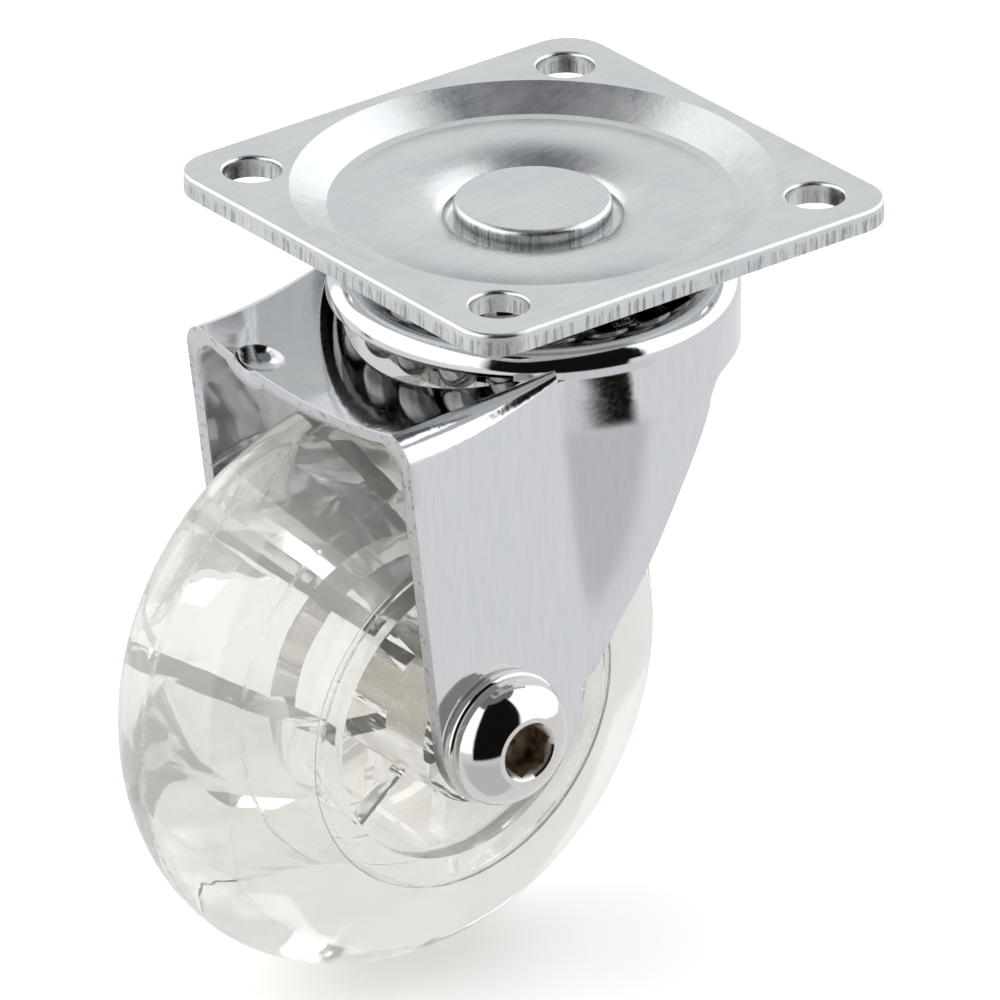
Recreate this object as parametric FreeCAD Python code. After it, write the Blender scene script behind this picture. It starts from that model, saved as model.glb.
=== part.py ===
import FreeCAD, Part
import math
import os

os.makedirs("parts", exist_ok=True)

V = FreeCAD.Vector
Y_AXIS = V(0, 1, 0)
Z_AXIS = V(0, 0, 1)
ORIGIN = V(0, 0, 0)

# The castor hangs from the centre of its top plate, which is the origin.
# +Z is up, the wheel trails towards -X, and the axle lies along Y. All sizes are in millimetres.

# Top plate
plate_side = 42.0
plate_corner_r = 3.7
plate_t = 1.8
plate_edge_r = 0.3
fixing_spacing = 32.0
fixing_hole_r = 2.35
disc_margin = 1.5
disc_r = plate_side / 2 - disc_margin
crease_r = 16.5
crease_depth = 1.65
crease_flat = 0.9
crest_r = 12.2
crest_depth = 1.35
rim_r = 8.1
rim_depth = 2.3
recess_r = 7.3
recess_depth = 3.5
recess_corner_r = 0.7

# Kingpin rivet
rivet_head_r = 6.4
rivet_head_top = 1.4
rivet_head_edge_r = 0.5
rivet_shank_r = 4.0
formed_head_r = 5.6
formed_head_h = 1.9

# Ball rows
upper_ball_r = 2.0
upper_pitch_r = 12.2
upper_count = 18
lower_ball_r = 1.75
lower_count = 21
ball_gap = 0.08
ball_side_gap = 0.12

# Fork sheet, crown and collar
sheet = 1.3
collar_r = 16.7
shoulder_r = 2.0
shoulder_top = 6.9
crown_hole_r = 8.7
race_half = 2.3
collar_front_drop = 9.6
collar_bevel = 0.5
collar_bevel_reach = 12.0
skirt_drop = 13.2
crown_inside_depth = 15.0
skirt_corner_r = 1.6

# Fork legs and platform
leg_out = 14.5
front_x = -22.8
front_x_depth = 20.0
front_slant = 0.13
platform_front = -24.6
platform_mid = -16.8
platform_rear = -9.0
plan_lap = 0.3
bend_depth_front = 12.65
bend_depth_mid = 12.0
bend_depth_rear = 9.4
bend_inset_front = 1.9
bend_rise_front = 2.4
bend_inset_mid = 1.8
bend_rise_mid = 2.15
bend_inset_rear = 0.5
bend_rise_rear = 0.7
sag_front = 1.35
sag_mid = 2.3
sag_rear = 3.6
bulge_end_depth = 33.0
bulge_start_x = -6.0
bulge_rest = 0.05
swell = 0.35
swell_depth = 14.2
swell_x = -1.5
rear_reach = 8.35
leg_end_r = 7.1
leg_end_shift_x = 1.45
leg_end_shift_z = 0.65
rear_edge = [(5.25, 15.4), (3.1, 20.2), (1.35, 24.2), (-0.9, 29.4), (-3.9, 34.3), (-5.75, 36.6)]
rear_edge_end = 6.0
dimple_x = -22.4
dimple_y = 6.5
dimple_r = 2.6
dimple_sink = 0.75

# Lower race cup
cup_t = 1.1
cup_boss_r = 7.3
cup_wall_drop = 3.6
cup_flare_r = 7.7
cup_knee_out = 1.3
cup_knee_rise = 0.45
cup_wrap_start = 190.0
cup_wrap_end = 238.0

# Axle, bolt, nut and washers
axle_x = -15.1
axle_depth = 38.9
bolt_r = 3.0
bolt_end = 1.2
head_r = 5.4
head_rim = 0.7
head_h = 2.95
head_face_r = 2.95
hex_across = 4.0
hex_depth = 2.2
hex_turn = 15.0
hex_mouth_r = 2.52
bolt_chamfer = 0.5
washer_r = 5.7
washer_t = 1.0
washer_edge_r = 0.35
washer_gap = 0.15
nut_across = 10.0
nut_h = 5.0
sleeve_r = 4.0
sleeve_gap = 0.1

# Wheel
wheel_r = 25.05
wheel_half = 10.1
seam_r = 15.0
crown_power = 1.8
crown_points = 17
seam_step_w = 0.7
seam_step_h = 0.3
recess_rim_r = 12.4
recess_draft = 0.5
web_half = 1.1
hub_r = 6.4
hub_gap = 0.3
bore_gap = 0.06
rib_count = 8
rib_t = 1.6
rib_phase = 38.0
rib_setback = 2.1
rib_lap = 0.8

# Sizes that follow from the ones above
crest_under = crest_depth + plate_t
upper_ball_depth = crest_under + ball_gap + upper_ball_r
race_depth = upper_ball_depth + upper_ball_r + ball_gap
crown_under = race_depth + sheet
lower_ball_depth = crown_under + ball_gap + lower_ball_r
lower_pitch_r = collar_r - sheet - ball_side_gap - lower_ball_r
leg_in = leg_out - sheet
washer_face = leg_out + washer_t
axle_centre = V(axle_x, 0, -axle_depth)
low = 60.0


def at(r, depth):
    """A point of a section: distance from the upright axis, and depth under the mounting face."""
    return V(r, 0, -depth)


def line(a, b):
    return Part.LineSegment(a, b).toShape()


def arc(a, m, b):
    return Part.Arc(a, m, b).toShape()


def on_circle(centre, radius, degrees):
    """A point of a circle in the XZ plane."""
    angle = math.radians(degrees)
    return centre + V(radius * math.cos(angle), 0, radius * math.sin(angle))


def face_of(edges):
    return Part.Face(Part.Wire(edges))


def polygon(points):
    return face_of([line(a, b) for a, b in zip(points, points[1:] + points[:1])])


def turned(face, centre=ORIGIN, axis=Z_AXIS):
    return face.revolve(centre, axis, 360)


def below(edges, depth):
    """The region under an open outline, closed at a given depth."""
    first = edges[0].Vertexes[0].Point
    last = edges[-1].Vertexes[-1].Point
    left = V(first.x, 0, -depth)
    right = V(last.x, 0, -depth)
    return face_of(edges + [line(last, right), line(right, left), line(left, first)])


def sheet_ring(edges, thickness, r_in, r_out, depth):
    """Sheet metal of one thickness that hangs under an open outline, turned about the upright axis."""
    region = below(edges, low)
    inside = region.makeOffset2D(-thickness)
    window = polygon([at(r_in, -low), at(r_out, -low), at(r_out, depth), at(r_in, depth)])
    band = region.cut(inside).common(window)
    return turned(band.Faces[0])


def cylinder(radius, start, length, axis=Z_AXIS):
    return Part.makeCylinder(radius, length, start, axis)


def box_between(a, b):
    size = b - a
    return Part.makeBox(size.x, size.y, size.z, a)


def clean(shape):
    """One tidy solid out of a result that may be a compound."""
    solid = shape.removeSplitter()
    return solid.Solids[0] if len(solid.Solids) == 1 else solid


def top_plate():
    """Square pressed plate: flat rim, crease, ring-shaped crest and a recess for the rivet head."""
    floor_r = recess_r - recess_corner_r
    corner = at(floor_r, recess_depth - recess_corner_r)
    rim_mid = at((rim_r + recess_r) / 2 - 0.1, rim_depth + 0.25)
    crest_edge = crease_r - crease_flat
    half = plate_side / 2
    outline = [
        line(at(-low, recess_depth), at(floor_r, recess_depth)),
        arc(at(floor_r, recess_depth), on_circle(corner, recess_corner_r, -45), at(recess_r, -corner.z)),
        arc(at(recess_r, -corner.z), rim_mid, at(rim_r, rim_depth)),
        arc(at(rim_r, rim_depth), at(crest_r, crest_depth), at(crest_edge, crease_depth)),
        line(at(crest_edge, crease_depth), at(crease_r, crease_depth)),
        line(at(crease_r, crease_depth), at(disc_r, 0)),
        line(at(disc_r, 0), at(low, 0)),
    ]
    pressing = sheet_ring(outline, plate_t, rivet_shank_r, half * 1.5, low / 2)
    blank = box_between(V(-half, -half, -low / 2), V(half, half, low / 2))
    uprights = [e for e in blank.Edges if abs(e.Vertexes[0].Z - e.Vertexes[1].Z) > low / 2]
    blank = blank.makeFillet(plate_corner_r, uprights)
    plate = pressing.common(blank)
    reach = fixing_spacing / 2
    for x in (-reach, reach):
        for y in (-reach, reach):
            plate = plate.cut(cylinder(fixing_hole_r, V(x, y, -plate_t * 2), plate_t * 4))
    plate = clean(plate)
    return plate.makeFillet(min(plate_edge_r, 0.4 * hole_wall()), rim_edges(plate))


def hole_wall():
    """The least sheet left between a fixing hole and the plate's outline, straight out or at the round corner."""
    side = plate_side / 2 - fixing_spacing / 2 - fixing_hole_r
    inset = fixing_spacing / 2 - (plate_side / 2 - plate_corner_r)
    return plate_corner_r - math.sqrt(2) * inset - fixing_hole_r if inset > 0 else side


def rim_edges(plate):
    """The edges round the plate's flat face and its holes, without the circle where the disc begins."""
    edges = []
    for edge in plate.Edges:
        flat = abs(edge.BoundBox.ZMin) < 0.001 and abs(edge.BoundBox.ZMax) < 0.001
        disc = edge.Curve.TypeId == "Part::GeomCircle" and abs(edge.Curve.Radius - disc_r) < 0.001
        if flat and not disc:
            edges.append(edge)
    return edges


def kingpin_rivet():
    """Rivet with a flat head in the recess and a domed lower end formed against the race cup."""
    cup_under = recess_depth + plate_t + cup_t
    edge = at(rivet_head_r - rivet_head_edge_r, rivet_head_top + rivet_head_edge_r)
    dome_r = (formed_head_r ** 2 + formed_head_h ** 2) / (2 * formed_head_h)
    dome_centre = at(0, cup_under + formed_head_h - dome_r)
    dome_half = math.degrees(math.asin(formed_head_r / dome_r)) / 2
    dome_mid = on_circle(dome_centre, dome_r, dome_half - 90)
    section = [
        line(at(0, rivet_head_top), at(edge.x, rivet_head_top)),
        arc(at(edge.x, rivet_head_top), on_circle(edge, rivet_head_edge_r, 45), at(rivet_head_r, -edge.z)),
        line(at(rivet_head_r, -edge.z), at(rivet_head_r, recess_depth)),
        line(at(rivet_head_r, recess_depth), at(rivet_shank_r, recess_depth)),
        line(at(rivet_shank_r, recess_depth), at(rivet_shank_r, cup_under)),
        line(at(rivet_shank_r, cup_under), at(formed_head_r, cup_under)),
        arc(at(formed_head_r, cup_under), dome_mid, at(0, cup_under + formed_head_h)),
        line(at(0, cup_under + formed_head_h), at(0, rivet_head_top)),
    ]
    return turned(face_of(section))


def lower_race_cup():
    """Pressed cup under the crown: its boss meets the plate's recess, its lip carries the lower balls."""
    boss_top = recess_depth + plate_t
    ball = at(lower_pitch_r, lower_ball_depth)
    wrap_r = lower_ball_r + ball_gap
    wrap_a = on_circle(ball, wrap_r, cup_wrap_start)
    wrap_m = on_circle(ball, wrap_r, (cup_wrap_start + cup_wrap_end) / 2)
    wrap_b = on_circle(ball, wrap_r, cup_wrap_end)
    knee_a = at(cup_flare_r, boss_top + cup_wall_drop)
    knee_b = at(cup_flare_r + cup_knee_out, -wrap_a.z - cup_knee_rise)
    past = wrap_b + V(low / 10, 0, -low / 20)
    corner = at(cup_boss_r - cup_t, boss_top + cup_t)
    outline = [
        line(at(-low, boss_top), at(corner.x, boss_top)),
        arc(at(corner.x, boss_top), on_circle(corner, cup_t, 45), at(cup_boss_r, -corner.z)),
        line(at(cup_boss_r, -corner.z), knee_a),
        line(knee_a, knee_b),
        line(knee_b, wrap_a),
        arc(wrap_a, wrap_m, wrap_b),
        line(wrap_b, past),
    ]
    return clean(sheet_ring(outline, cup_t, rivet_shank_r, wrap_b.x, low / 2))


def ball(row_r, row_depth, ball_r, index, count):
    angle = 2 * math.pi * index / count
    return Part.makeSphere(ball_r, V(row_r * math.cos(angle), row_r * math.sin(angle), -row_depth))


def crown_outline():
    """Section of the crown's top: the upper ball race, the rounded shoulder and the collar."""
    shoulder = at(collar_r - shoulder_r, shoulder_top + shoulder_r)
    return [
        line(at(-low, shoulder_top), at(upper_pitch_r - race_half, shoulder_top)),
        arc(at(upper_pitch_r - race_half, shoulder_top), at(upper_pitch_r, race_depth),
            at(upper_pitch_r + race_half, shoulder_top)),
        line(at(upper_pitch_r + race_half, shoulder_top), at(shoulder.x, shoulder_top)),
        arc(at(shoulder.x, shoulder_top), on_circle(shoulder, shoulder_r, 45), at(collar_r, -shoulder.z)),
        line(at(collar_r, -shoulder.z), at(collar_r, low / 2)),
    ]


def crown_solid(thickness, depth):
    """The crown and collar filled in under the outline, or under the same outline one sheet lower."""
    region = below(crown_outline(), low)
    if thickness:
        region = region.makeOffset2D(-thickness)
    window = polygon([at(0, -low), at(low, -low), at(low, depth), at(0, depth)])
    return turned(region.common(window).Faces[0])


def platform_section(x, inset, bend_depth, bend_inset, bend_rise, sag, drop):
    """Cross-section of the fork's front: two upright walls, rounded bends and a sagging top."""
    wall = leg_out - inset
    top_y = leg_out - bend_inset - inset
    top_z = -bend_depth + bend_rise - drop
    foot_z = -bend_depth - drop
    mid_y = wall - bend_inset * 0.3
    mid_z = foot_z + bend_rise * 0.7
    edges = [
        line(V(x, -wall, -low), V(x, -wall, foot_z)),
        arc(V(x, -wall, foot_z), V(x, -mid_y, mid_z), V(x, -top_y, top_z)),
        arc(V(x, -top_y, top_z), V(x, 0, top_z - sag), V(x, top_y, top_z)),
        arc(V(x, top_y, top_z), V(x, mid_y, mid_z), V(x, wall, foot_z)),
        line(V(x, wall, foot_z), V(x, wall, -low)),
        line(V(x, wall, -low), V(x, -wall, -low)),
    ]
    return Part.Wire(edges)


def platform_solid(inset, drop):
    front = platform_section(platform_front - 1, inset, bend_depth_front, bend_inset_front,
                             bend_rise_front, sag_front, drop)
    middle = platform_section(platform_mid, inset, bend_depth_mid, bend_inset_mid,
                              bend_rise_mid, sag_mid, drop)
    rear = platform_section(platform_rear, inset, bend_depth_rear, bend_inset_rear,
                            bend_rise_rear, sag_rear, drop)
    return Part.makeLoft([front, middle, rear], True, False)


def plan_section(depth, half, start_x, side_mid, side_end, rear_x):
    """Plan of the fork's rear part: flat walls, bulging sides and a round back."""
    front = platform_rear - plan_lap
    z = -depth
    edges = [
        line(V(front, half, z), V(front, -half, z)),
        line(V(front, -half, z), V(start_x, -half, z)),
        arc(V(start_x, -half, z), V(side_mid[0], -side_mid[1], z), V(side_end[0], -side_end[1], z)),
        arc(V(side_end[0], -side_end[1], z), V(rear_x, 0, z), V(side_end[0], side_end[1], z)),
        arc(V(side_end[0], side_end[1], z), V(side_mid[0], side_mid[1], z), V(start_x, half, z)),
        line(V(start_x, half, z), V(front, half, z)),
    ]
    return Part.Wire(edges)


def rear_solid(inset):
    """Rear of the fork: round under the collar, easing down into two flat legs."""
    radius = collar_r - inset
    half = leg_out - inset
    start_x = -math.sqrt(radius ** 2 - half ** 2)
    end_y = math.sqrt(radius ** 2 - rear_reach ** 2)
    round_plan = (half, start_x, (0, radius), (rear_reach, end_y), radius)
    mid_x = (bulge_start_x + rear_reach) / 2
    flat_plan = (half, bulge_start_x, (mid_x, half + bulge_rest), (rear_reach, half), radius)
    swell_plan = (half, start_x, (swell_x, radius + swell), (rear_reach, end_y), radius)
    top = plan_section(collar_front_drop, *round_plan)
    swollen = plan_section(swell_depth, *swell_plan)
    flat = plan_section(bulge_end_depth, *flat_plan)
    bottom = plan_section(low, *flat_plan)
    pairs = ([top, swollen], [swollen, flat], [flat, bottom])
    parts = [Part.makeLoft(pair, True, True) for pair in pairs]
    return parts[0].fuse(parts[1:])


def leg_profile():
    """Side view of the fork: slanted front edge, round lower end, curved rear edge and skirt."""
    centre = axle_centre + V(leg_end_shift_x, 0, leg_end_shift_z)

    def front(depth):
        return V(front_x + front_slant * (depth - front_x_depth), 0, -depth)

    slant = math.degrees(math.atan(front_slant))
    end_a = on_circle(centre, leg_end_r, 180 + slant)
    end_m = on_circle(centre, leg_end_r, 270)
    end_b = on_circle(centre, leg_end_r, rear_edge_end)
    points = [end_b] + [at(x, d) for x, d in reversed(rear_edge)]
    edge = Part.BSplineCurve()
    edge.interpolate(points, InitialTangent=V(0.3, 0, 1) * 3, FinalTangent=V(0.35, 0, 1) * 3)
    last = points[-1]
    skirt_start = at(last.x + skirt_corner_r + 0.5, skirt_drop)
    corner_mid = at(last.x + skirt_corner_r * 0.38, skirt_drop + skirt_corner_r * 0.42)
    far = at(low / 2, skirt_drop)
    return face_of([
        line(front(2.0), end_a),
        arc(end_a, end_m, end_b),
        edge.toShape(),
        arc(last, corner_mid, skirt_start),
        line(skirt_start, far),
        line(far, at(low / 2, 2.0)),
        line(at(low / 2, 2.0), front(2.0)),
    ])


def dimple(grow):
    top = V(dimple_x, dimple_y, -bend_depth_front + bend_rise_front - sag_front)
    return Part.makeSphere(dimple_r + grow, top + V(0, 0, dimple_r - dimple_sink))


def bevel_ring():
    """What the bevel takes off the collar's cut edge over the crescent slot."""
    outer_r = collar_r + collar_bevel
    corner = at(outer_r, collar_front_drop)
    ring = turned(polygon([at(collar_r - collar_bevel, collar_front_drop), corner,
                           corner + V(0, 0, 2 * collar_bevel)]))
    front = box_between(V(-low, -collar_bevel_reach, -low), V(platform_rear, collar_bevel_reach, 0))
    return ring.common(front)


def fork():
    """The chromed fork: one pressing, made as its outer form less the same form one sheet inside."""
    outer = crown_solid(0, collar_front_drop).fuse([platform_solid(0, 0), rear_solid(0)])
    inner = crown_solid(sheet, crown_inside_depth).fuse([platform_solid(sheet, sheet * 0.98), rear_solid(sheet)])
    outer = outer.cut(dimple(0))
    inner = inner.cut(dimple(sheet))
    profile = leg_profile().extrude(V(0, 4 * leg_out, 0))
    profile.translate(V(0, -2 * leg_out, 0))
    body = outer.common(profile).cut(inner).cut(bevel_ring())
    body = body.cut(cylinder(crown_hole_r, V(0, 0, -low / 2), low / 2))
    body = body.cut(cylinder(bolt_r + washer_gap, axle_centre - V(0, 2 * leg_out, 0), 4 * leg_out, Y_AXIS))
    return clean(body)


def axle_bolt():
    """Button-head screw with a hex socket, drawn along +Y from its head."""
    head_y = -washer_face
    end_y = washer_face + nut_h + bolt_end
    top_y = head_y - head_h
    rim_y = head_y - head_rim
    dome_mid = V(head_r * 0.82, top_y + head_h * 0.27, 0)
    section = [
        line(V(0, top_y, 0), V(head_face_r, top_y, 0)),
        arc(V(head_face_r, top_y, 0), dome_mid, V(head_r, rim_y, 0)),
        line(V(head_r, rim_y, 0), V(head_r, head_y, 0)),
        line(V(head_r, head_y, 0), V(bolt_r, head_y, 0)),
        line(V(bolt_r, head_y, 0), V(bolt_r, end_y - bolt_chamfer, 0)),
        line(V(bolt_r, end_y - bolt_chamfer, 0), V(bolt_r - bolt_chamfer, end_y, 0)),
        line(V(bolt_r - bolt_chamfer, end_y, 0), V(0, end_y, 0)),
        line(V(0, end_y, 0), V(0, top_y, 0)),
    ]
    bolt = turned(face_of(section), ORIGIN, Y_AXIS)
    socket = hexagon(hex_across, top_y, hex_turn).extrude(V(0, hex_depth, 0))
    mouth = polygon([V(0, top_y, 0), V(hex_mouth_r, top_y, 0), V(0, top_y + hex_mouth_r, 0)])
    bolt = bolt.cut(socket).cut(turned(mouth, ORIGIN, Y_AXIS))
    bolt.translate(axle_centre)
    return clean(bolt)


def hexagon(across, y, turn):
    radius = across / math.sqrt(3)
    corners = [on_circle(V(0, y, 0), radius, turn + 60 * i) for i in range(6)]
    return polygon(corners)


def washer(y):
    ring = cylinder(washer_r, V(0, y, 0), washer_t, Y_AXIS)
    ring = ring.makeFillet(washer_edge_r, [e for e in ring.Edges if e.Curve.TypeId == "Part::GeomCircle"])
    ring = ring.cut(cylinder(bolt_r + washer_gap, V(0, y - 1, 0), washer_t + 2, Y_AXIS))
    ring.translate(axle_centre)
    return clean(ring)


def axle_nut():
    """Hex nut whose corners are turned off on both faces."""
    prism = hexagon(nut_across, washer_face, 0).extrude(V(0, nut_h, 0))
    corner_r = nut_across / math.sqrt(3)
    flat_r = nut_across / 2
    drop = (corner_r - flat_r) * math.tan(math.radians(30))
    y0 = washer_face
    y1 = washer_face + nut_h
    bevel = [V(0, y0, 0), V(flat_r, y0, 0), V(corner_r, y0 + drop, 0), V(corner_r, y1 - drop, 0),
             V(flat_r, y1, 0), V(0, y1, 0)]
    nut = prism.common(turned(polygon(bevel), ORIGIN, Y_AXIS))
    nut = nut.cut(cylinder(bolt_r, V(0, y0 - 1, 0), nut_h + 2, Y_AXIS))
    nut.translate(axle_centre)
    return clean(nut)


def axle_sleeve():
    tube = cylinder(sleeve_r, V(0, -leg_in, 0), 2 * leg_in, Y_AXIS)
    tube = tube.cut(cylinder(bolt_r + sleeve_gap, V(0, -leg_out, 0), 2 * leg_out, Y_AXIS))
    tube.translate(axle_centre)
    return clean(tube)


def wheel_core():
    """Clear core: hub, thin web, rim and thin radial ribs on both sides of the web."""
    hub_half = leg_in - hub_gap
    bore_r = sleeve_r + bore_gap
    step_r = seam_r - seam_step_w
    step_y = wheel_half - seam_step_h
    half = [V(bore_r, 0, 0), V(bore_r, hub_half, 0), V(hub_r, hub_half, 0), V(hub_r, web_half, 0),
            V(recess_rim_r - recess_draft, web_half, 0), V(recess_rim_r, wheel_half, 0),
            V(step_r, wheel_half, 0), V(step_r, step_y, 0), V(seam_r, step_y, 0), V(seam_r, 0, 0)]
    mirrored = [V(p.x, -p.y, 0) for p in reversed(half[1:-1])]
    core = turned(polygon(half + mirrored), ORIGIN, Y_AXIS)
    rib_half = wheel_half - rib_setback
    for i in range(rib_count):
        angle = rib_phase + 360 / rib_count * i
        rib = box_between(V(hub_r - rib_lap, -rib_half, -rib_t / 2),
                          V(recess_rim_r + rib_lap, rib_half, rib_t / 2))
        rib.rotate(ORIGIN, Y_AXIS, -angle)
        core = core.fuse(rib)
    core.translate(axle_centre)
    return clean(core)


def tread_point(angle):
    """A point of the tread's crown, a curve a little fuller at the shoulders than an ellipse."""
    c = math.cos(math.radians(angle))
    s = math.sin(math.radians(angle))
    power = 2 / crown_power
    y = wheel_half * math.copysign(abs(c) ** power, c)
    return V(seam_r + (wheel_r - seam_r) * abs(s) ** power, y, 0)


def wheel_tread():
    """Clear tread moulded round the core, crowned from one seam to the other."""
    crown = Part.BSplineCurve()
    crown.interpolate([tread_point(180 * i / (crown_points - 1)) for i in range(crown_points)])
    a = V(seam_r, wheel_half, 0)
    b = V(seam_r, -wheel_half, 0)
    tread = turned(face_of([crown.toShape(), line(b, a)]), ORIGIN, Y_AXIS)
    tread.translate(axle_centre)
    return clean(tread)


def pieces():
    yield "top_plate", top_plate()
    yield "kingpin_rivet", kingpin_rivet()
    yield "lower_race_cup", lower_race_cup()
    yield "fork", fork()
    yield "axle_bolt", axle_bolt()
    yield "near_washer", washer(-washer_face)
    yield "far_washer", washer(leg_out)
    yield "axle_nut", axle_nut()
    yield "axle_sleeve", axle_sleeve()
    yield "wheel_core", wheel_core()
    yield "wheel_tread", wheel_tread()
    for i in range(upper_count):
        yield "upper_ball_%02d" % (i + 1), ball(upper_pitch_r, upper_ball_depth, upper_ball_r, i, upper_count)
    for i in range(lower_count):
        yield "lower_ball_%02d" % (i + 1), ball(lower_pitch_r, lower_ball_depth, lower_ball_r, i, lower_count)


for name, shape in pieces():
    shape.exportStep("parts/" + name + ".step")
    print(name, len(shape.Solids), "valid" if shape.isValid() else "invalid", round(shape.Volume, 2))
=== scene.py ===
# %% [markdown]
# # A furniture castor with a clear wheel
# The castor is a square zinc-plated plate, a chromed fork that swivels under it on two rows of balls,
# and a clear wheel on a screwed axle. The CAD frame holds every rigid piece at its real place, so this
# script gives them their finishes, makes the clear tread anew, and lights the whole for a product shot.

# %% Load the frame
import math

import bmesh
import bpy
import numpy as np
from mathutils import Matrix, Vector


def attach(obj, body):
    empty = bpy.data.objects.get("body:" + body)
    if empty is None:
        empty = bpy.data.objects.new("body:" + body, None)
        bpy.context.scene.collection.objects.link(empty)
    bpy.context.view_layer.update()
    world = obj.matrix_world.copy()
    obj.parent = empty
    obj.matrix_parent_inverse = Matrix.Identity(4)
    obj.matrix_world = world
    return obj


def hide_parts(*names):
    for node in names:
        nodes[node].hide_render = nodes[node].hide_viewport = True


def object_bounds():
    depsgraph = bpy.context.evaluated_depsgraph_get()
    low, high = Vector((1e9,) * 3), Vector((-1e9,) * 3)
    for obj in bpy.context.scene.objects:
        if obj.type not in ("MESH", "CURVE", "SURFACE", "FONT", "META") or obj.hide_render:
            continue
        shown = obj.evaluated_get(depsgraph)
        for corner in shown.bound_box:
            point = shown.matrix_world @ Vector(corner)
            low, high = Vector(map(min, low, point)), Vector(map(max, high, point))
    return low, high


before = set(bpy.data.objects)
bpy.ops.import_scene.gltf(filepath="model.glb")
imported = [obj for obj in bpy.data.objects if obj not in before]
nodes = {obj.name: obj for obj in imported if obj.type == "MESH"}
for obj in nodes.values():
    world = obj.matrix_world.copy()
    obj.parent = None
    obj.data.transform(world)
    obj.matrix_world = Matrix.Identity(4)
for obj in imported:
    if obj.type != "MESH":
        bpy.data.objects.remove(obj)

cad_low, cad_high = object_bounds()
print("nodes:", len(nodes), "box in mm:", [round(1000 * (b - a), 2) for a, b in zip(cad_low, cad_high)])

# %% [markdown]
# The photograph was taken from far away with a long lens, from above and to the front left of the castor.
# A camera is set by where it stands, which way it looks and how much it takes in. The direction is given
# by an azimuth, an elevation and a small roll, and the place by the distance and by the point it looks at.

# %% Camera
MM = 0.001
CAMERA_AZIMUTH = math.radians(-38.007)
CAMERA_ELEVATION = math.radians(26.623)
CAMERA_ROLL = math.radians(-0.328)
CAMERA_DISTANCE = 1000 * MM
AIM = Vector((0, 0, -30 * MM))
AIM_OFFSET = (2.786 * MM, -1.435 * MM)
FOCAL_SHARE = 12.3595
SENSOR = 36.0


def camera_axes():
    """Right, up and backward directions of the camera: back points from the aim to the camera at the given
    azimuth and elevation, right is level, up is back crossed with right, and both turn by the roll."""
    a, e, r = CAMERA_AZIMUTH, CAMERA_ELEVATION, CAMERA_ROLL
    back = Vector((math.sin(a) * math.cos(e), -math.cos(a) * math.cos(e), math.sin(e)))
    right = Vector((math.cos(a), math.sin(a), 0))
    up = back.cross(right)
    return (right * math.cos(r) + up * math.sin(r), up * math.cos(r) - right * math.sin(r), back)


def make_camera():
    """The camera stands back from its aim, a little off it to the side and in height, with a long lens."""
    right, up, back = camera_axes()
    camera = bpy.data.objects.new("camera", bpy.data.cameras.new("camera"))
    bpy.context.scene.collection.objects.link(camera)
    place = AIM + back * CAMERA_DISTANCE - right * AIM_OFFSET[0] - up * AIM_OFFSET[1]
    turn = Matrix((right, up, back)).transposed().to_4x4()
    camera.matrix_world = Matrix.Translation(place) @ turn
    camera.data.sensor_width = SENSOR
    camera.data.lens = SENSOR * FOCAL_SHARE
    camera.data.clip_start = 0.05
    camera.data.clip_end = 20
    bpy.context.scene.camera = camera
    return camera


camera = make_camera()
print("camera at mm:", [round(v * 1000, 2) for v in camera.location], "lens:", round(camera.data.lens, 1))

# %% [markdown]
# A finish is a small net of nodes. A few helpers keep these nets short: one makes a material with a
# Principled shader, one adds a node, one joins two nodes, and one tells how big the net has become.

# %% Material helpers


def new_material(name, **values):
    """A node material whose Principled shader has the given socket values."""
    material = bpy.data.materials.new(name)
    material.use_nodes = True
    shader = material.node_tree.nodes["Principled BSDF"]
    for socket, value in values.items():
        shader.inputs[socket.replace("_", " ")].default_value = value
    return material, shader


def add(material, kind, **settings):
    """A new node; settings with a capital letter fill sockets, the others set the node itself."""
    node = material.node_tree.nodes.new(kind)
    for key, value in settings.items():
        if key[0].isupper():
            node.inputs[key.replace("_", " ")].default_value = value
        else:
            setattr(node, key, value)
    return node


def link(material, source, target):
    """Joins an output socket to an input socket."""
    material.node_tree.links.new(source, target)


def tell(material):
    """Prints how many nodes a finished material has."""
    print(material.name, "has", len(material.node_tree.nodes), "nodes")


# %% [markdown]
# Patterns are read in Object coordinates, so that they stay on a piece as it moves. A noise gives the
# chance of the workshop, and a stretch along one axis draws it out into the streaks of a tool or a roller.

# %% Patterns


def object_coordinates(material, stretch=(1, 1, 1), shift=(0, 0, 0)):
    """Object coordinates, stretched and then shifted, as a socket."""
    coordinates = add(material, "ShaderNodeTexCoord")
    mapping = add(material, "ShaderNodeMapping", Scale=stretch, Location=shift)
    link(material, coordinates.outputs["Object"], mapping.inputs["Vector"])
    return mapping.outputs["Vector"]


def surface_normal(material):
    """The direction that the surface faces, in the piece's own axes, as a socket."""
    return add(material, "ShaderNodeTexCoord").outputs["Normal"]


def noise(material, vector, scale, detail=3.0, roughness=0.5):
    """A soft random pattern between 0 and 1; the scale counts its features to the metre."""
    node = add(material, "ShaderNodeTexNoise", Scale=scale, Detail=detail, Roughness=roughness)
    link(material, vector, node.inputs["Vector"])
    return node.outputs["Fac"]


def spread(material, value, low, high, out_low=0.0, out_high=1.0):
    """A value between low and high drawn out to between out_low and out_high."""
    node = add(material, "ShaderNodeMapRange")
    for socket, number in zip(("From Min", "From Max", "To Min", "To Max"), (low, high, out_low, out_high)):
        node.inputs[socket].default_value = number
    link(material, value, node.inputs["Value"])
    return node.outputs["Result"]


def one_axis(material, vector, axis):
    """The X, Y or Z of a vector as a socket."""
    parts = add(material, "ShaderNodeSeparateXYZ")
    link(material, vector, parts.inputs["Vector"])
    return parts.outputs[axis]


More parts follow.
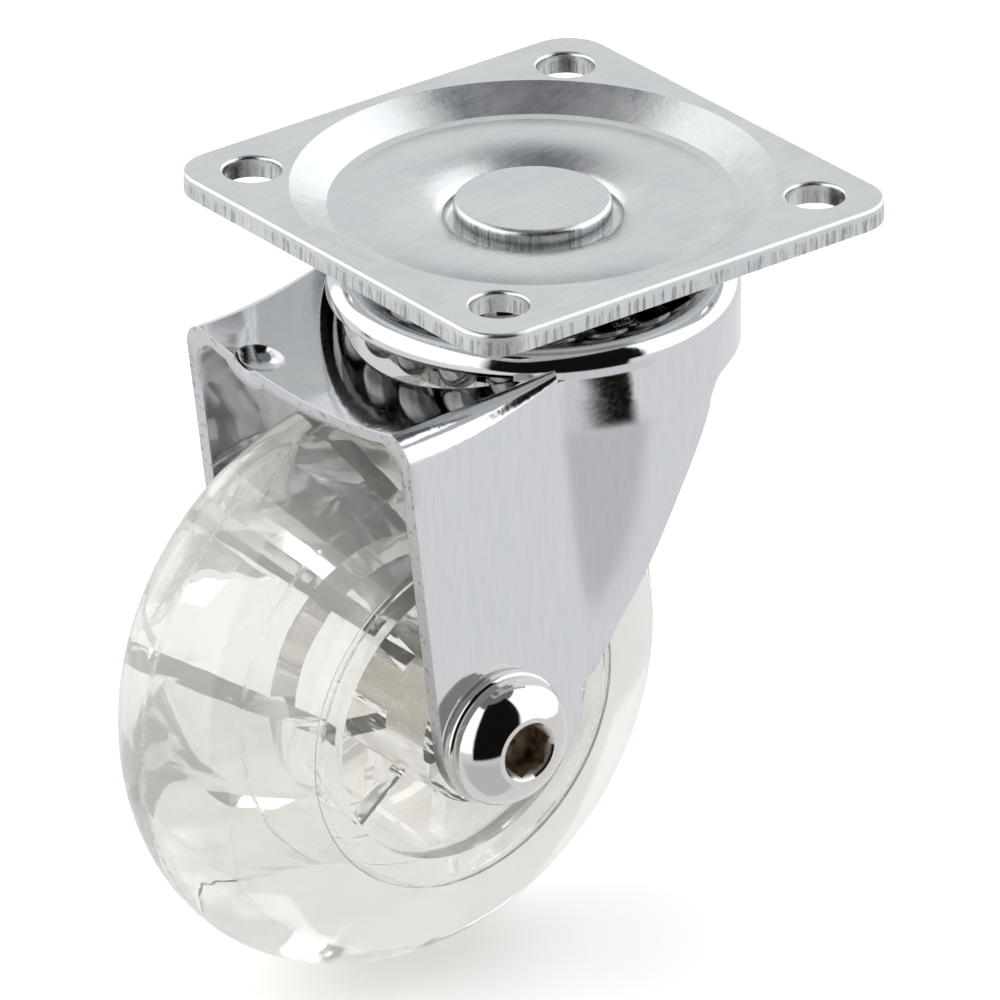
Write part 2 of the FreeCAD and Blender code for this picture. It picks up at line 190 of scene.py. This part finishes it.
def reckon(material, operation, *values):
    """A sum, product or other operation on sockets and numbers."""
    node = add(material, "ShaderNodeMath", operation=operation)
    for socket, value in zip(node.inputs, values):
        if isinstance(value, (int, float)):
            socket.default_value = value
        else:
            link(material, value, socket)
    return node.outputs["Value"]


def colour_between(material, share, low, high):
    """The low colour where the share is 0 and the high one where it is 1; each is a socket or a colour."""
    node = add(material, "ShaderNodeMix", data_type="RGBA")
    link(material, share, node.inputs[0])
    for socket, colour in zip((node.inputs[6], node.inputs[7]), (low, high)):
        if isinstance(colour, tuple):
            socket.default_value = (*colour, 1)
        else:
            link(material, colour, socket)
    return node.outputs[2]


def bump(material, shader, height, strength, distance, base=None):
    """Small relief from a height, on the plain normal or on a given one."""
    node = add(material, "ShaderNodeBump", Strength=strength, Distance=distance)
    link(material, height, node.inputs["Height"])
    if base:
        link(material, base, node.inputs["Normal"])
    link(material, node.outputs["Normal"], shader.inputs["Normal"])


# %% [markdown]
# Wear and dirt lie in certain places: on an edge, in a socket, under a lip. A mask says where, as a value
# of 1 in the place and 0 outside it. Simple masks of one measure are multiplied into a mask of the place.

# %% Masks


def under(material, value, top, edge):
    """1 where the value is less than the top, and 0 above it, over an edge that lies just under the top."""
    return spread(material, value, top - edge, top, 1, 0)


def over(material, value, bottom, edge):
    """1 where the value is more than the bottom, and 0 below it, over an edge just under the bottom."""
    return spread(material, value, bottom - edge, bottom)


def product(material, first, *others):
    """Masks multiplied: 1 only where each of them is 1."""
    for other in others:
        first = reckon(material, "MULTIPLY", first, other)
    return first


def distance_from(material, value, place):
    """How far a value lies from a place, on either side."""
    return reckon(material, "ABSOLUTE", reckon(material, "SUBTRACT", value, place))


def distance_from_line(material, stretch, shift=(0, 0, 0)):
    """Distance from a line through the shifted origin, along the axis whose stretch is 0."""
    node = add(material, "ShaderNodeVectorMath", operation="LENGTH")
    link(material, object_coordinates(material, stretch, shift), node.inputs[0])
    return node.outputs["Value"]


# %% [markdown]
# The fork was pressed from one sheet. The press rounded its edges a little, and the fold where the flat leg
# runs into the round back much more. The CAD solid has this fold as a sharp line, so the shader rounds it:
# a Bevel node bends the normals near an edge, and this mask tells it how far.

# %% Rounded folds of the fork
EDGE_R = 0.15 * MM
FOLD_R = 1.1 * MM
FOLD_X = -8.29 * MM
FOLD_DRIFT = 0.122
FOLD_REACH = 2.3 * MM
FOLD_FADE = 0.8 * MM
RIDGE_Z = -14.2 * MM
RIDGE_END_X = 3 * MM
LEG_TOP_Z = -10.2 * MM
LEG_LOW_Z = -37.0 * MM


def fold_radius(material, vector):
    """The edge's radius everywhere, and the fold's radius along two lines: the fold, which starts at FOLD_X
    and drifts back as it goes down from RIDGE_Z, and the level ridge at RIDGE_Z."""
    x = one_axis(material, vector, "X")
    z = one_axis(material, vector, "Z")
    down = reckon(material, "MAXIMUM", reckon(material, "SUBTRACT", RIDGE_Z, z), 0)
    behind = reckon(material, "MULTIPLY_ADD", down, -FOLD_DRIFT, reckon(material, "SUBTRACT", x, FOLD_X))
    fold = under(material, reckon(material, "ABSOLUTE", behind), FOLD_REACH, FOLD_FADE)
    level = under(material, distance_from(material, z, RIDGE_Z), FOLD_REACH, FOLD_FADE)
    ridge = product(material, level, under(material, x, RIDGE_END_X, 1 * MM))
    on_leg = product(material, under(material, z, LEG_TOP_Z, 0.5 * MM),
                     over(material, z, LEG_LOW_Z + 1 * MM, 1 * MM))
    either = product(material, reckon(material, "MAXIMUM", fold, ridge), on_leg)
    return reckon(material, "MULTIPLY_ADD", either, FOLD_R, EDGE_R)


# %% [markdown]
# Where the sheet was cut, chrome doesn't cover as well: the front edges of the fork are duller and have a few
# dark specks. The collar's lower lip over the slot is painted near-black as shade under the collar.

# %% Cut edges and the lip's painted shade
CUT_X = -10 * MM
LIP_R = (16.1 * MM, 16.8 * MM)
LIP_Z = (-9.8 * MM, -9.05 * MM)
LIP_END_X = -11.5 * MM
LIP_FADE = 0.05 * MM


def cut_edge(material, vector):
    """1 on the fork's sheared front edges, else 0: there the normal points towards -X and hardly sideways,
    and the place is in front of CUT_X and lower than the legs' top."""
    normal = surface_normal(material)
    sideways = reckon(material, "ABSOLUTE", one_axis(material, normal, "Y"))
    return product(material, under(material, one_axis(material, normal, "X"), -0.5, 0.1),
                   under(material, sideways, 0.5, 0.15),
                   under(material, one_axis(material, vector, "X"), CUT_X, 0.5 * MM),
                   under(material, one_axis(material, vector, "Z"), LEG_TOP_Z, 0.2 * MM))


# Painted shade: this mask makes the collar's lower lip near-black, standing in for the shade under the
# collar.
def lip_painted_shade(material, vector):
    """1 on the collar's lower lip over the slot, else 0: a narrow ring in radius and height round Z."""
    radius = distance_from_line(material, (1, 1, 0))
    z = one_axis(material, vector, "Z")
    x = one_axis(material, vector, "X")
    ring = product(material, over(material, radius, LIP_R[0], LIP_FADE),
                   under(material, radius, LIP_R[1], LIP_FADE))
    low = product(material, over(material, z, LIP_Z[0], LIP_FADE), under(material, z, LIP_Z[1], LIP_FADE))
    return product(material, ring, low, under(material, x, LIP_END_X, LIP_FADE))


# %% [markdown]
# The fork is bright chrome on pressed steel. Chrome is a clean mirror, but the sheet under it is not quite
# flat: long soft waves, tiny pits and the upright streaks of polishing show in its reflections. A perfect
# mirror would look like foil, so three noises move its colour, its gloss and its normals by very little.

# %% Bright chrome
CHROME_TONES = (0.645, 0.66, 0.68), (0.68, 0.692, 0.712)
CUT_TONE = (0.24, 0.23, 0.22)
# The near-black of the painted shade on the collar's lower lip.
LIP_SHADE_TONE = (0.012, 0.012, 0.012)


def bright_chrome():
    """Chrome with streaks, specks on its cut edges, painted shade on the lip, pits, waves and rounded folds.
    """
    material, shader = new_material("bright_chrome", Metallic=1.0)
    vector = object_coordinates(material)
    waves = noise(material, vector, 120.0, 2.0)
    pits = noise(material, vector, 2600.0, 2.0)
    streaks = noise(material, object_coordinates(material, (1, 1, 0.1)), 3200.0, 3.0, 0.7)
    tone = colour_between(material, spread(material, streaks, 0.35, 0.65), *CHROME_TONES)
    cut = cut_edge(material, vector)
    specks = spread(material, noise(material, vector, 1700.0), 0.60, 0.66, 0.12, 0.7)
    tone = colour_between(material, product(material, cut, specks), tone, CUT_TONE)
    # Painted shade: the collar's lower lip over the slot turns near-black.
    tone = colour_between(material, lip_painted_shade(material, vector), tone, LIP_SHADE_TONE)
    link(material, tone, shader.inputs["Base Color"])
    gloss = spread(material, pits, 0.35, 0.7, 0.05, 0.10)
    link(material, reckon(material, "MULTIPLY_ADD", cut, 0.25, gloss), shader.inputs["Roughness"])
    rounded = add(material, "ShaderNodeBevel", samples=4)
    link(material, fold_radius(material, vector), rounded.inputs["Radius"])
    height = reckon(material, "MULTIPLY_ADD", pits, 0.04, waves)
    bump(material, shader, height, 0.3, 0.0001, rounded.outputs["Normal"])
    return material


chrome = bright_chrome()
tell(chrome)

# %% [markdown]
# The axle's screw, washers and nut are polished. The sleeve between the legs is a turned tube, so it is
# rougher and a little brown. One function makes both: a plain metal whose gloss varies by a noise.

# %% Polished and turned steel
STEEL_TONE = (0.66, 0.65, 0.64)
SLEEVE_TONE = (0.55, 0.52, 0.48)


def plain_metal(name, tone, scale, smooth, rough):
    """A metal of one colour whose roughness goes from smooth to rough with a noise of the given scale."""
    material, shader = new_material(name, Base_Color=(*tone, 1), Metallic=1.0)
    pattern = noise(material, object_coordinates(material), scale)
    link(material, spread(material, pattern, 0.3, 0.7, smooth, rough), shader.inputs["Roughness"])
    return material


steel = plain_metal("polished_steel", STEEL_TONE, 900.0, 0.04, 0.09)
turned_steel = plain_metal("plain_steel", SLEEVE_TONE, 1500.0, 0.2, 0.4)
tell(steel)
tell(turned_steel)

# %% [markdown]
# Old brown oil has gathered in the screw's hex socket. It is no metal, so it takes away the shine there.

# %% Screw with oil in its socket
AXLE = np.array((-15.1, 0.0, -38.9)) * MM
SOCKET_R = 2.35 * MM
HEAD_TOP = -18.45 * MM
HEAD_H = 4 * MM
OIL_TONES = (0.05, 0.032, 0.016), (0.20, 0.14, 0.08)


def socket_steel():
    """Polished steel with oil inside the socket's radius round the axle's line, in the head below its top."""
    material, shader = new_material("screw_steel", Metallic=1.0)
    vector = object_coordinates(material)
    y = one_axis(material, vector, "Y")
    radius = distance_from_line(material, (1, 0, 1), (-AXLE[0], 0, -AXLE[2]))
    oil = product(material, under(material, radius, SOCKET_R + 0.1 * MM, 0.1 * MM),
                  over(material, y, HEAD_TOP + 0.4 * MM, 0.3 * MM),
                  under(material, y, HEAD_TOP + HEAD_H, 0.5 * MM))
    stain = spread(material, noise(material, vector, 1400.0), 0.35, 0.65)
    brown = colour_between(material, stain, *OIL_TONES)
    link(material, colour_between(material, oil, STEEL_TONE, brown), shader.inputs["Base Color"])
    link(material, spread(material, oil, 0, 1, 1.0, 0.2), shader.inputs["Metallic"])
    link(material, spread(material, oil, 0, 1, 0.06, 0.3), shader.inputs["Roughness"])
    return material


screw = socket_steel()
tell(screw)

# %% [markdown]
# The bearing balls are steel painted dark, for grease and as painted shade in the gaps, darker in some
# places.

# %% Balls darkened by grease and painted shade
# Dark tones of the balls: partly grease, partly painted shade.
BALL_GREASE_AND_SHADE_TONES = (0.34, 0.33, 0.32), (0.15, 0.145, 0.14)


def ball_steel():
    """Steel that is darker and duller where a noise is high, for grease and for painted shade."""
    material, shader = new_material("ball_steel", Metallic=1.0)
    # Painted shade and grease: a noise darkens the balls' steel.
    grease_and_shade = spread(material, noise(material, object_coordinates(material), 700.0), 0.35, 0.65)
    link(material, colour_between(material, grease_and_shade, *BALL_GREASE_AND_SHADE_TONES), shader.inputs["Base Color"])
    link(material, spread(material, grease_and_shade, 0, 1, 0.08, 0.25), shader.inputs["Roughness"])
    return material


balls = ball_steel()
tell(balls)

# %% [markdown]
# The top plate was sheared out of a strip. A shear leaves a clean band at the top of the cut and a torn one
# below it, where zinc doesn't cover well, and so the plate's sides have dark upright marks.

# %% Marks of the shear
SHEARED_TOP = -1.2 * MM
RAGGED = 1.2 * MM


def sheared_marks(material, vector):
    """1 on the dark marks on the lower part of the plate's upright sides, else 0. The sides are where the
    normal lies nearly level. The marks are a noise drawn out along Z, which makes their top ragged too."""
    level = reckon(material, "ABSOLUTE", one_axis(material, surface_normal(material), "Z"))
    upright = noise(material, object_coordinates(material, (1, 1, 0.08)), 2600.0, 4.0, 0.75)
    ragged = reckon(material, "MULTIPLY_ADD", upright, -RAGGED, one_axis(material, vector, "Z"))
    return product(material, spread(material, upright, 0.48, 0.62, 0, 0.75), under(material, level, 0.5, 0.2),
                   under(material, ragged, SHEARED_TOP, 0.3 * MM))


# %% [markdown]
# The plate, the rivet and the race cup are satin zinc. The grey of zinc comes from a fine rolled grain and
# from cloudy patches that are a little rougher than the rest.

# %% Satin zinc
ZINC_TONES = (0.60, 0.625, 0.64), (0.71, 0.725, 0.725)
SHEARED_TONE = (0.22, 0.22, 0.225)


def satin_zinc():
    """Zinc whose colour and roughness follow a mottle: 0.4 of a noise drawn out along X and 0.6 of clouds."""
    material, shader = new_material("satin_zinc", Metallic=1.0)
    vector = object_coordinates(material)
    grain = noise(material, vector, 2600.0, 4.0, 0.75)
    clouds = noise(material, vector, 150.0, 4.0, 0.6)
    rolled = noise(material, object_coordinates(material, (0.08, 1, 1)), 1500.0, 3.0, 0.7)
    mottle = reckon(material, "MULTIPLY_ADD", rolled, 0.4, reckon(material, "MULTIPLY", clouds, 0.6))
    tone = colour_between(material, spread(material, mottle, 0.38, 0.62), *ZINC_TONES)
    tone = colour_between(material, sheared_marks(material, vector), tone, SHEARED_TONE)
    link(material, tone, shader.inputs["Base Color"])
    link(material, spread(material, mottle, 0.38, 0.62, 0.20, 0.34), shader.inputs["Roughness"])
    bump(material, shader, grain, 0.45, 0.00003)
    return material


zinc = satin_zinc()
tell(zinc)

# %% [markdown]
# The wheel is clear plastic. A shader of glass alone would throw a dark shadow into the wheel, because lamps
# aren't seen through it. So shadow rays meet a plain transparent shader, and the light reaches what lies
# behind. A little of the plastic is milky, which keeps its darkest reflections grey.

# %% Clear plastic
PLASTIC_INDEX = 1.5
CLEAR_SHARE = 0.92
CORE_TINT = (0.982, 0.98, 0.968)
TREAD_TINT = (0.98, 0.975, 0.958)
SEAM_Y = -0.5 * MM
SEAM_WIDTH = 0.35 * MM


def parting_line(material, vector, width):
    """1 on the mould's parting line round the wheel, else 0, broken by a noise."""
    away = distance_from(material, one_axis(material, vector, "Y"), SEAM_Y)
    broken = spread(material, noise(material, vector, 900.0, 4.0, 0.7), 0.40, 0.55)
    return product(material, spread(material, away, 0.3 * width, width, 1, 0), broken)


def clear_plastic(name, tint, seam_width):
    """Clear plastic with soft moulding waves. A seam width above 0 adds the mould's parting line."""
    material, shader = new_material(name, Base_Color=(*tint, 1), Roughness=0.0, IOR=PLASTIC_INDEX,
                                    Transmission_Weight=CLEAR_SHARE)
    vector = object_coordinates(material)
    height = noise(material, vector, 260.0, 2.0)
    if seam_width:
        worn = parting_line(material, vector, seam_width)
        height = reckon(material, "MULTIPLY_ADD", worn, 0.3, height)
        link(material, spread(material, worn, 0, 1, 0.0, 0.3), shader.inputs["Roughness"])
    bump(material, shader, height, 0.18, 0.0002)
    open_to_lamps = add(material, "ShaderNodeBsdfTransparent", Color=(*tint, 1))
    path = add(material, "ShaderNodeLightPath")
    mix = add(material, "ShaderNodeMixShader")
    output = material.node_tree.nodes["Material Output"]
    link(material, path.outputs["Is Shadow Ray"], mix.inputs[0])
    link(material, shader.outputs["BSDF"], mix.inputs[1])
    link(material, open_to_lamps.outputs["BSDF"], mix.inputs[2])
    link(material, mix.outputs["Shader"], output.inputs["Surface"])
    return material


core_plastic = clear_plastic("clear_core", CORE_TINT, 0)
tread_plastic = clear_plastic("clear_tread", TREAD_TINT, SEAM_WIDTH)
tell(core_plastic)
tell(tread_plastic)

# %% [markdown]
# The CAD nodes take these finishes as they are. All nodes without a finish of their own are balls.

# %% Finishes on the CAD nodes
FINISHES = {
    "top_plate": zinc, "kingpin_rivet": zinc, "lower_race_cup": zinc, "fork": chrome,
    "axle_bolt": screw, "near_washer": steel, "far_washer": steel, "axle_nut": steel,
    "axle_sleeve": turned_steel, "wheel_core": core_plastic, "wheel_tread": tread_plastic,
}


def dress(node, material):
    """Every slot of a CAD node gets one material."""
    for slot in node.material_slots:
        slot.material = material
    if not node.material_slots:
        node.data.materials.append(material)


for name, node in nodes.items():
    dress(node, FINISHES.get(name, balls))
print("dressed", len(nodes), "nodes, of which", len(nodes) - len(FINISHES), "are balls")

# %% [markdown]
# New pieces are grids of points worked out as whole arrays, and joined into quads.

# %% Meshes from points
CREASE = math.radians(35)


def surface(name, points, quads):
    """A mesh object from points and quads, smooth but for the edges that bend by more than the crease."""
    mesh = bpy.data.meshes.new(name)
    mesh.from_pydata(points.tolist(), [], quads.tolist())
    mesh.polygons.foreach_set("use_smooth", np.ones(len(mesh.polygons), bool))
    mesh.set_sharp_from_angle(angle=CREASE)
    mesh.update()
    piece = bpy.data.objects.new(name, mesh)
    bpy.context.scene.collection.objects.link(piece)
    return piece


# %% [markdown]
# The tread is one ring of clear plastic. Its section is a crown that is a little fuller at the shoulders
# than an ellipse, closed by a straight bore. The ring reaches a hair inside the core's outer face, because
# two glass surfaces at the same place would confuse the light.

# %% Clear tread
WHEEL_R = 25.05 * MM
WHEEL_HALF = 10.1 * MM
SEAM_R = 15.0 * MM
CROWN_POWER = 1.8
SEAM_LAP = 0.04 * MM
CROWN_STEPS = 72
TURN_STEPS = 288


def crown_section(steps):
    """Radius and width along the crown: width = half * c^(2/p) and radius = seam + rise * s^(2/p), where c
    and s are the cosine and sine of an angle from 0 to 180 degrees, and p is the crown's power."""
    angle = np.linspace(0, math.pi, steps)
    c, s = np.cos(angle), np.abs(np.sin(angle))
    width = WHEEL_HALF * np.sign(c) * np.abs(c) ** (2 / CROWN_POWER)
    radius = SEAM_R + (WHEEL_R - SEAM_R) * s ** (2 / CROWN_POWER)
    return radius, width


def turned_ring(name, radius, width, steps):
    """A closed section carried round the axle: x = r cos t, z = r sin t, y = width, joined as quads."""
    turn = np.linspace(0, 2 * math.pi, steps, endpoint=False)
    t, r = np.meshgrid(turn, radius, indexing="ij")
    y = np.broadcast_to(width, r.shape)
    points = np.stack((AXLE[0] + r * np.cos(t), AXLE[1] + y, AXLE[2] + r * np.sin(t)), axis=-1)
    rows, columns = r.shape
    i, j = np.meshgrid(np.arange(rows), np.arange(columns), indexing="ij")
    i2, j2 = (i + 1) % rows, (j + 1) % columns
    quads = np.stack((i * columns + j, i2 * columns + j, i2 * columns + j2, i * columns + j2), axis=-1)
    return surface(name, points.reshape(-1, 3), quads.reshape(-1, 4))


crown_r, crown_w = crown_section(CROWN_STEPS)
bore_r = np.full(2, SEAM_R - SEAM_LAP)
bore_w = np.array((-WHEEL_HALF, WHEEL_HALF))
tread = turned_ring("clear_tread_ring", np.concatenate((crown_r, bore_r)), np.concatenate((crown_w, bore_w)),
                    TURN_STEPS)
tread.data.materials.append(tread_plastic)
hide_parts("wheel_tread")
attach(tread, "wheel")
print("tread faces:", len(tread.data.polygons))

# %% [markdown]
# The core's form is right in CAD, but its mesh is loose triangles, and each would bend the light by itself.
# So a copy is merged, which leaves the CAD node as it is, and shaded smooth but for its real edges.

# %% Clear core
MERGE = 1e-7


def smooth_copy(name, node):
    """A copy of a CAD node with its loose triangles merged, smooth but for its real edges."""
    mesh = node.data.copy()
    mesh.name = name
    form = bmesh.new()
    form.from_mesh(mesh)
    bmesh.ops.remove_doubles(form, verts=form.verts, dist=MERGE)
    form.to_mesh(mesh)
    form.free()
    mesh.attributes.remove(mesh.attributes["custom_normal"])
    mesh.polygons.foreach_set("use_smooth", np.ones(len(mesh.polygons), bool))
    mesh.set_sharp_from_angle(angle=CREASE)
    piece = bpy.data.objects.new(name, mesh)
    bpy.context.scene.collection.objects.link(piece)
    return piece


core = smooth_copy("clear_core_moulding", nodes["wheel_core"])
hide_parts("wheel_core")
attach(core, "wheel")
print("core faces:", len(core.data.polygons))

# %% [markdown]
# Chrome and clear plastic show the room around them more than they show themselves. The room is painted
# into the world by direction, as a photographer would set it up: a big soft box on either side, a dark gap
# round the camera, a grey ceiling and a pale sweep behind and below. Each patch is a window of azimuth and
# elevation in degrees, with a soft edge. Azimuth is counted from the side of the dark gap.

# %% Studio room
ROOM_TURN = math.radians(-20)
ROOM_PALE = (0.90, 0.905, 0.91)
GAP_DARK = (0.008, 0.007, 0.006)
BOX_BRIGHT = (1.6, 1.6, 1.6)
ROOM_PATCHES = [
    ("ceiling", -180, 180, 48, 110, 22, (0.20, 0.205, 0.22)),
    ("front shade", -70, 50, -120, -26, 16, (0.67, 0.67, 0.68)),
    ("right soft box", 44, 140, -8, 62, 3, BOX_BRIGHT),
    ("left soft box", -160, -46, -12, 60, 5, BOX_BRIGHT),
    ("dark gap", -43, 43, -7, 70, 4, GAP_DARK),
    ("gap's foot", -43, 34, -22, -2, 4, GAP_DARK),
]


class Room:
    """Builds the world's shader. A ray's direction is turned about Z and read as azimuth and elevation."""

    def __init__(self, turn):
        self.world = bpy.data.worlds.new("studio")
        self.world.use_nodes = True
        self.tree = self.world.node_tree
        direction = self.node("ShaderNodeTexCoord").outputs["Generated"]
        turned = self.node("ShaderNodeVectorRotate", rotation_type="Z_AXIS")
        turned.inputs["Angle"].default_value = -turn
        self.join(direction, turned.inputs["Vector"])
        parts = self.node("ShaderNodeSeparateXYZ")
        self.join(turned.outputs["Vector"], parts.inputs["Vector"])
        away = self.math("MULTIPLY", parts.outputs["Y"], -1)
        self.azimuth = self.math("DEGREES", self.math("ARCTAN2", parts.outputs["X"], away))
        self.elevation = self.math("DEGREES", self.math("ARCSINE", parts.outputs["Z"]))

    def node(self, kind, **settings):
        node = self.tree.nodes.new(kind)
        for key, value in settings.items():
            setattr(node, key, value)
        return node

    def join(self, source, target):
        self.tree.links.new(source, target)

    def math(self, operation, *values):
        node = self.node("ShaderNodeMath", operation=operation)
        for socket, value in zip(node.inputs, values):
            if isinstance(value, (int, float)):
                socket.default_value = value
            else:
                self.join(value, socket)
        return node.outputs["Value"]

    def step(self, value, place, soft):
        """0 below the place and 1 above it, with a smooth change over the soft width."""
        node = self.node("ShaderNodeMapRange", interpolation_type="SMOOTHSTEP")
        node.inputs["From Min"].default_value = place - soft / 2
        node.inputs["From Max"].default_value = place + soft / 2
        self.join(value, node.inputs["Value"])
        return node.outputs["Result"]

    def patch(self, left, right, low, high, soft):
        """1 inside a window of azimuth and elevation: (step(left) - step(right)) (step(low) - step(high))."""
        wide = 1 if left <= -180 else self.math(
            "SUBTRACT", self.step(self.azimuth, left, soft), self.step(self.azimuth, right, soft))
        low_step = self.step(self.elevation, low, soft)
        tall = self.math("SUBTRACT", low_step, self.step(self.elevation, high, soft))
        return self.math("MULTIPLY", tall, wide)

    def paint(self, under_it, colour, mask):
        """The colour over what is under it, as far as the mask is 1."""
        node = self.node("ShaderNodeMix", data_type="RGBA")
        if isinstance(under_it, tuple):
            node.inputs[6].default_value = (*under_it, 1)
        else:
            self.join(under_it, node.inputs[6])
        node.inputs[7].default_value = (*colour, 1)
        self.join(mask, node.inputs[0])
        return node.outputs[2]


# %% [markdown]
# Three kinds of rays see more than the patches. Rays that come out of the plastic see a grey haze, as real
# plastic is never quite clear. Rays that metal or plastic has mirrored twice or more see a paler room, as
# if a white card stood beside the castor, so that the inside of the fork isn't black. And the camera itself
# sees plain white behind the floor.

# %% Rays into the room
ROOM_THROUGH = (0.70, 0.685, 0.655)
ROOM_HAZE = 0.7
ROOM_CARD = (1.05, 1.03, 0.99)
ROOM_FILL = 0.4
WHITE = (1, 1, 1)


def make_room():
    """The world: pale, then its patches in their order, then haze, card and the camera's white over them."""
    room = Room(ROOM_TURN)
    colour = ROOM_PALE
    for name, left, right, low, high, soft, paint in ROOM_PATCHES:
        colour = room.paint(colour, paint, room.patch(left, right, low, high, soft))
    path = room.node("ShaderNodeLightPath")
    haze = room.math("MULTIPLY", path.outputs["Is Transmission Ray"], ROOM_HAZE)
    colour = room.paint(colour, ROOM_THROUGH, haze)
    mirrored_twice = room.math("GREATER_THAN", path.outputs["Glossy Depth"], 1.5)
    colour = room.paint(colour, ROOM_CARD, room.math("MULTIPLY", mirrored_twice, ROOM_FILL))
    colour = room.paint(colour, WHITE, path.outputs["Is Camera Ray"])
    room.join(colour, room.tree.nodes["Background"].inputs["Color"])
    bpy.context.scene.world = room.world
    return room.world


world = make_room()
print("room:", len(ROOM_PATCHES), "patches,", len(world.node_tree.nodes), "nodes")

# %% [markdown]
# The floor is plain and pale. The metal and the plastic mirror the painted room instead of it, which keeps
# their reflections the same wherever the floor ends. One lamp from above whitens it and leaves a soft shadow.

# %% Floor and lamp
FLOOR_Z = cad_low.z
FLOOR_HALF = 3.0
FLOOR_TONE = (0.9, 0.9, 0.9, 1)
LAMP_PLACE = (0.1, 0.1, 1.0)
LAMP_SIZE = 1.6
LAMP_POWER = 14


def make_floor():
    """One big square at the castor's lowest point. Only the camera and the shadows know it."""
    corners = np.array([(x, y, FLOOR_Z) for x, y in ((-1, -1), (1, -1), (1, 1), (-1, 1))])
    corners[:, :2] *= FLOOR_HALF
    floor = surface("studio_floor", corners, np.array(((0, 1, 2, 3),)))
    floor.data.materials.append(new_material("white_floor", Base_Color=FLOOR_TONE, Roughness=0.9)[0])
    floor.visible_glossy = False
    floor.visible_transmission = False
    return floor


def soft_lamp(name, place, aim, size, power):
    """A square lamp that faces its aim and stays out of the reflections."""
    data = bpy.data.lights.new(name, "AREA")
    data.shape = "SQUARE"
    data.size = size
    data.energy = power
    lamp = bpy.data.objects.new(name, data)
    bpy.context.scene.collection.objects.link(lamp)
    lamp.location = place
    lamp.rotation_mode = "QUATERNION"
    lamp.rotation_quaternion = (Vector(aim) - Vector(place)).to_track_quat("-Z", "Y")
    lamp.visible_glossy = False
    return lamp


floor = make_floor()
lamp = soft_lamp("overhead", LAMP_PLACE, AIM, LAMP_SIZE, LAMP_POWER)
bpy.context.scene.view_settings.view_transform = "Standard"
print("floor at mm:", round(FLOOR_Z * 1000, 2), "lamp power in W:", lamp.data.energy)
